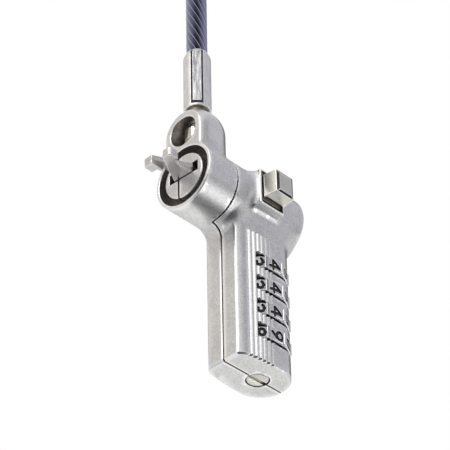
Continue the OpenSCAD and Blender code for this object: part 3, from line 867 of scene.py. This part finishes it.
def spring_steel():
    return metal("spring_steel", dark=(0.34, 0.33, 0.32), light=(0.50, 0.49, 0.47), wear_and_glint=(0.75, 0.74, 0.72),
                 rough=(0.18, 0.36), grain=0.2, grain_scale=1800.0, stretch=(1.0, 1.0, 0.3))


def painted_shade_metal():
    """Dark grey painted as shade on the castings' hollows and seams, and on the nose's seam and slot."""
    return metal("painted_shade_metal", dark=(0.20, 0.18, 0.16), light=(0.38, 0.35, 0.31), wear_and_glint=(0.5, 0.47, 0.44),
                 rough=(0.4, 0.62), grain=0.5, grain_scale=2800.0)


def groove_metal():
    """Bare casting in the groove and the window, with turning marks."""
    return metal("groove_metal", dark=(0.48, 0.44, 0.41), light=(0.88, 0.83, 0.79), wear_and_glint=(0.9, 0.86, 0.83),
                 rough=(0.26, 0.46), grain=0.8, grain_scale=1300.0, stretch=(4.0, 1.0, 1.0))


def black_ink_and_shade():
    # Black for the wheels' printed digits, and painted as shade in the ferrule's pressed borders.
    n = Nodes("black_ink_and_shade")
    speck = n.noise(3000.0, 3.0, 0.6)
    n.link(n.ramp(speck, [(0.35, (0.006, 0.006, 0.008)), (0.7, (0.03, 0.03, 0.036))]),
           n.shader.inputs["Base Color"])
    n.link(n.grey(speck, 0.3, 0.6), n.shader.inputs["Roughness"])
    n.bump(speck, 0.3, GRAIN_DEPTH)
    return n.material


def cable_jacket():
    """Clear tinted plastic over stranded steel: near black where it faces the view and paler bluish towards
    its outline, a painted sheen, with a painted glint along every strand.
    """
    wobble_share, strand_glint, relief = 0.06, (0.78, 0.79, 0.88), 0.00003
    n = Nodes("cable_jacket")
    layer = n.add("ShaderNodeAttribute", attribute_name="strand")
    speck = n.noise(1800.0, 4.0, 0.6)
    wobble = n.math("MULTIPLY", n.math("SUBTRACT", speck, 0.5), wobble_share)
    gap = n.math("ADD", layer.outputs["Fac"], wobble)
    steep = n.add("ShaderNodeLayerWeight")
    steep.inputs["Blend"].default_value = 0.5
    # Painted sheen: near black where the cable faces the view, paler bluish towards its outline.
    painted_sheen = n.ramp(steep.outputs["Facing"], [
        (0.235, (0.002, 0.002, 0.008)), (0.265, (0.035, 0.038, 0.08)),
        (0.33, (0.11, 0.115, 0.19)), (0.55, (0.24, 0.25, 0.38)),
    ])
    # A painted glint along the crest of every strand.
    line = n.ramp(gap, [(0.03, (1.0, 1.0, 1.0)), (0.11, (0.0, 0.0, 0.0))])
    n.link(n.mixed(line, painted_sheen, strand_glint), n.shader.inputs["Base Color"])
    n.link(n.grey(speck, 0.25, 0.4), n.shader.inputs["Roughness"])
    n.shader.inputs["Specular IOR Level"].default_value = 0.08
    n.bump(speck, 0.08, relief)
    return n.material


# ---------------- painting by place
# Faces deeper than this below the outer form count as inside and take the painted shade, in mm
HIDDEN = -0.16


def face_centres(o):
    """Middles of the object's faces, in mm."""
    me = o.data
    c = np.empty(len(me.polygons) * 3, np.float32)
    me.polygons.foreach_get("center", c)
    return c.reshape(-1, 3) / MM


def paint(o, material, chosen):
    """Gives the chosen faces one more material."""
    o.data.materials.append(material)
    index = np.zeros(len(o.data.polygons), np.int32)
    o.data.polygons.foreach_get("material_index", index)
    index[chosen] = len(o.data.materials) - 1
    o.data.polygons.foreach_set("material_index", index)


def is_hidden_inside(c):
    """Faces below the outer form, painted dark as shade: hollows, wells and the seam between the shells."""
    return outside((c[:, 0], c[:, 1], c[:, 2])) < HIDDEN


def is_groove(c):
    """Faces of the groove round the nose, of the swivel's window and of the wheels' windows."""
    spare, groove_from, window_from, past_end = 0.1, 0.25, 0.35, 0.15
    wells_top, wells_side = -15.0, 4.0
    x, y, z = c.T
    wells = (z < wells_top) & (np.abs(y) > wells_side) & (outside((x, y, z)) < HIDDEN)
    groove = (np.hypot(y, z) < GROOVE_R + spare) & (x < GROOVE_DEPTH + 2 * spare) & (x > groove_from)
    window = (np.hypot(y, z - WINDOW_Z) < WINDOW_R + spare) & (x > window_from)
    return groove | (window & (x < WINDOW_DEPTH + past_end)) | wells


def is_seam(c):
    """Faces of the far shell along the seam, painted dark as the seam's shade."""
    reach, past_collar = 0.1, 0.2
    x, y, _ = c.T
    return (np.abs(y) < reach) & (x > COLLAR_END + past_collar)


def is_nose_inside(c):
    """Faces of the nose halves along their seam and in the slot for the jaws, painted dark as shade."""
    spare, seam_reach, seam_from, slot_from = 0.05, 0.22, 0.08, 0.3
    x, y, z = c.T
    seam = (np.abs(y - NOSE_SEAM) < seam_reach) & (x > NOSE_FACE + seam_from)
    slot = (np.abs(y) < SLOT_HALF + spare) & (z > SLOT_LOW - spare) & (z < SLOT_HIGH + spare)
    return seam | (slot & (x > NOSE_FACE + slot_from))


def is_inked(c, first):
    """Faces on the floors of a wheel's digits, before the wheel is moved to its place."""
    ink_reach, floor_low, floor_high = 0.02, 7.6, 7.97
    x, y, z = c.T
    radial = np.hypot(x - DIAL_X, y)
    return (wheel_ink(x, y, z, first) < ink_reach) & (radial > floor_low) & (radial < floor_high)


# ---------------- the pieces
def dress(o, material, body, slot, *nodes):
    """First material, body, and the nodes a piece stands for; slot is not used."""
    o.data.materials.clear()
    o.data.materials.append(material)
    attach(o, body)
    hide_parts(*nodes)


def add_cable(jacket, bright):
    """The cable with its eye, and the sleeve on it."""
    cable, line, length = cable_mesh()
    sleeve = solid("eye_sleeve", sleeve_shape, (1.3, -4.1, 72.0), (15.0, 4.1, 86.0), 0.16)
    dress(cable, jacket, "swivel", "cable_jacket", "cable")
    dress(sleeve, bright, "swivel", "bright_nickel", "loop_sleeve")


def add_shells(satin, inside):
    main = solid("casting_far", main_shape, (0.0, -9.3, -48.2), (34.2, 9.3, 21.3), 0.2, 0.02)
    dress(main, satin, "housing", "satin_nickel", "main_housing")
    dial = solid("casting_near", dial_shape, (9.8, -11.0, -48.2), (34.2, 0.0, 9.3), 0.145, 0.02)
    dress(dial, satin, "housing", "satin_nickel", "dial_housing")
    bare = groove_metal()
    for o in (main, dial):
        c = face_centres(o)
        # Hollows and seams take the dark painted shade; the groove and the windows then take the bare
        # casting.
        paint(o, inside, is_hidden_inside(c))
        paint(o, bare, is_groove(c))
    paint(main, inside, is_seam(face_centres(main)))


def add_nose(satin, inside):
    for side, name, node, y0, y1 in ((-1, "nose_near", "nose_half_near", -NOSE_R, NOSE_SEAM),
                                     (1, "nose_far", "nose_half_far", NOSE_SEAM, NOSE_R)):
        o = solid(name, nose_shape(side), (0, y0, -NOSE_R), (NOSE_END, y1, NOSE_R), 0.11, 0.01)
        dress(o, satin, "housing", "satin_nickel", node)
        # The seam and the slot take the dark painted shade.
        paint(o, inside, is_nose_inside(face_centres(o)))


def add_jaws(hooks):
    """Values of a jaw: side, blade's low and high, reach, out, width of the hook, depth of its lug."""
    for name, node, body, values in (
        ("jaw_low", "lower_jaw", "lower_jaw_body", (1, HOOK_LOW, 0.85, 8.6, 3.9, 2.4, 2.9)),
        ("jaw_high", "upper_jaw", "upper_jaw_body", (-1, 0.95, HOOK_HIGH, 9.2, 4.4, 2.8, 4.2)),
    ):
        o = solid(name, jaw_shape(*values), (-9.3, -4.5, -0.4), (15.6, 4.5, 2.2), 0.09)
        dress(o, hooks, body, "hook_steel", node)


def add_button(bright):
    button = solid("button_cap", button_shape, (16.2, -15.4, -4.2), (24.6, -1.0, 4.2), 0.09, 0.01)
    dress(button, bright, "button", "bright_nickel", "push_button")


def add_wheels(nickel, dark_marking):
    """The wheels, each meshed at the level of the barrel's axis and moved down to its place."""
    for i, (first, dz) in enumerate(zip(FIRST_DIGITS, DIAL_Z), 1):
        o = solid("number_wheel_%d" % i, wheel_shape(first), (16.5, -8.4, -1.75), (33.3, 8.4, 1.75), 0.1)
        inked = is_inked(face_centres(o), first)
        o.data.transform(Matrix.Translation((0, 0, dz * MM)))
        dress(o, nickel, "wheel_%d" % i, "wheel_nickel", "dial_%d" % i)
        paint(o, dark_marking, inked)


def add_screw(bright):
    screw = solid("reset_screw_head", screw_shape, (21.9, -3.0, -48.0), (27.9, 3.0, -45.5), 0.08)
    dress(screw, bright, "reset", "bright_nickel", "reset_screw")


def add_swivel(bright, dark_marking):
    """Stud, washer and ferrule, which turn with the cable."""
    pin = solid("swivel_stud", pin_shape, (2.0, -3.4, 11.9), (8.8, 3.4, 28.7), 0.11)
    dress(pin, bright, "swivel", "bright_nickel", "swivel_pin")
    washer = solid("swivel_ring", washer_shape, (2.3, -3.1, 21.4), (8.5, 3.1, 22.7), 0.08)
    # The washer's dark brown stands partly for the shade in the gap under the ferrule.
    dress(washer, oxide_and_shade_steel(), "swivel", "plain_steel", "swivel_washer")
    crimp = solid("crimped_ferrule", ferrule_shape, (1.8, -3.6, 22.5), (9.0, 3.6, 42.8), 0.11)
    dress(crimp, crimp_nickel(), "swivel", "bright_nickel", "ferrule")
    c = face_centres(crimp)
    paint(crimp, crimp_streaks(), crimp_flats(c))
    # The pressed borders and heels are painted black as shade.
    paint(crimp, dark_marking, crimp_border_shade(c))


def keep_inner_parts(steel, spring):
    """The frame's own meshes for what hardly shows, with materials."""
    springs = ("slider_spring", "spindle_spring", "detent_spring")
    plain = ("shell_dowels", "jaw_pin", "drive_slider", "hub_spacers", "spindle", "clutch_hub_1",
             "clutch_hub_2", "clutch_hub_3", "clutch_hub_4")
    for nodes, material, slot in ((plain, steel, "plain_steel"), (springs, spring, "spring_steel")):
        for node in nodes:
            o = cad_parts[node]
            o.data.materials.clear()
            o.data.materials.append(material)


# ---------------- camera, light and floor
def camera():
    data = bpy.data.cameras.new("view")
    data.sensor_width = 36.0
    data.lens = 187.4
    data.clip_start, data.clip_end = 0.01, 10.0
    o = bpy.data.objects.new("view", data)
    place = Vector((-0.32370, -0.31616, -0.34984))
    right = Vector((0.6915, -0.7222, -0.0164)).normalized()
    ahead = Vector((0.5875, 0.5490, 0.5945)).normalized()
    down = ahead.cross(right).normalized()
    right = down.cross(ahead).normalized()
    turn = Matrix((right, -down, -ahead)).transposed()
    o.matrix_world = Matrix.Translation(place) @ turn.to_4x4()
    bpy.context.scene.collection.objects.link(o)
    bpy.context.scene.camera = o


def area_light(name, place, target, size, power, colour):
    data = bpy.data.lights.new(name, "AREA")
    data.shape = "RECTANGLE"
    data.size, data.size_y = size
    data.energy = power
    data.color = colour
    o = bpy.data.objects.new(name, data)
    o.location = place
    aim = Vector(target) - Vector(place)
    o.rotation_euler = aim.to_track_quat("-Z", "Y").to_euler()
    bpy.context.scene.collection.objects.link(o)


# Fields the metal mirrors: direction, angles of the soft edge in degrees, colour
ROOM = [
    ((0.50, -0.60, 0.60), (24, 42), (0.60, 0.595, 0.64)),
    ((0.52, -0.16, -0.84), (7, 18), (0.06, 0.057, 0.054)),
    ((-0.12, -0.80, 0.59), (4, 10), (0.03, 0.03, 0.035)),
    ((0.60, -0.80, -0.12), (4, 10), (0.03, 0.03, 0.035)),
    ((-0.59, -0.55, -0.59), (25, 60), (0.10, 0.10, 0.105)),
    ((0.76, 0.26, 0.60), (9, 20), (0.03, 0.03, 0.03)),
    ((0.59, 0.60, -0.54), (18, 44), (1.0, 1.0, 0.985)),
    ((-0.59, 0.62, 0.52), (20, 50), (0.78, 0.75, 0.71)),
    ((-0.74, -0.28, 0.61), (9, 19), (2.4, 2.33, 2.25)),
    ((0.57, -0.56, -0.60), (8, 22), (1.5, 1.5, 1.5)),
]
ROOM_BASE = (0.80, 0.80, 0.81)


def room_colour(new, link):
    """The room's colour by direction, as an output in the world's node tree."""
    place = new("ShaderNodeTexCoord").outputs["Generated"]
    base = new("ShaderNodeRGB")
    base.outputs[0].default_value = (*ROOM_BASE, 1.0)
    colour = base.outputs[0]
    for where, (inner, outer), tone in ROOM:
        dot = new("ShaderNodeVectorMath")
        dot.operation = "DOT_PRODUCT"
        dot.inputs[1].default_value = Vector(where).normalized()
        link(place, dot.inputs[0])
        soft = new("ShaderNodeMapRange")
        soft.interpolation_type = "SMOOTHSTEP"
        soft.inputs["From Min"].default_value = math.cos(math.radians(outer))
        soft.inputs["From Max"].default_value = math.cos(math.radians(inner))
        link(dot.outputs["Value"], soft.inputs["Value"])
        mix = new("ShaderNodeMix")
        mix.data_type = "RGBA"
        link(soft.outputs["Result"], mix.inputs["Factor"])
        link(colour, mix.inputs["A"])
        mix.inputs["B"].default_value = (*tone, 1.0)
        colour = mix.outputs["Result"]
    return colour


def studio():
    """White room whose dark and bright fields light the part but are not seen themselves."""
    scene = bpy.context.scene
    scene.view_settings.view_transform = "Standard"
    world = bpy.data.worlds.new("studio")
    scene.world = world
    world.use_nodes = True
    world.node_tree.nodes.clear()
    new, link = world.node_tree.nodes.new, world.node_tree.links.new
    lit = new("ShaderNodeBackground")
    link(room_colour(new, link), lit.inputs["Color"])
    seen = new("ShaderNodeBackground")
    seen.inputs["Color"].default_value = (1.0, 1.0, 1.0, 1.0)
    mix = new("ShaderNodeMixShader")
    link(new("ShaderNodeLightPath").outputs["Is Camera Ray"], mix.inputs["Fac"])
    link(lit.outputs[0], mix.inputs[1])
    link(seen.outputs[0], mix.inputs[2])
    link(mix.outputs[0], new("ShaderNodeOutputWorld").inputs["Surface"])


def floor():
    """A pale floor far below, hidden from mirror rays so that it leaves the metal's fields alone."""
    size, z = 3.0, -0.42
    me = bpy.data.meshes.new("floor")
    me.from_pydata([(-size, -size, z), (size, -size, z), (size, size, z), (-size, size, z)], [],
                   [(0, 1, 2, 3)])
    o = bpy.data.objects.new("floor", me)
    bpy.context.scene.collection.objects.link(o)
    n = Nodes("pale_floor")
    speck = n.noise(6.0)
    n.link(n.ramp(speck, [(0.3, (0.80, 0.80, 0.80)), (0.7, (0.86, 0.86, 0.86))]),
           n.shader.inputs["Base Color"])
    n.shader.inputs["Roughness"].default_value = 0.9
    me.materials.append(n.material)
    o.visible_glossy = False


def build():
    camera()
    studio()
    floor()
    area_light("key", (-0.9, 0.05, 0.66), (0, 0, 0), (0.3, 0.3), 0.8, (1.0, 0.98, 0.95))
    satin, bright, inside, dark_marking = satin_nickel(), bright_nickel(), painted_shade_metal(), black_ink_and_shade()
    add_cable(cable_jacket(), bright)
    add_shells(satin, inside)
    add_nose(satin, inside)
    add_jaws(hook_steel())
    add_button(bright)
    add_wheels(wheel_nickel(), dark_marking)
    add_screw(bright)
    add_swivel(bright, dark_marking)
    keep_inner_parts(plain_steel(), spring_steel())


build()
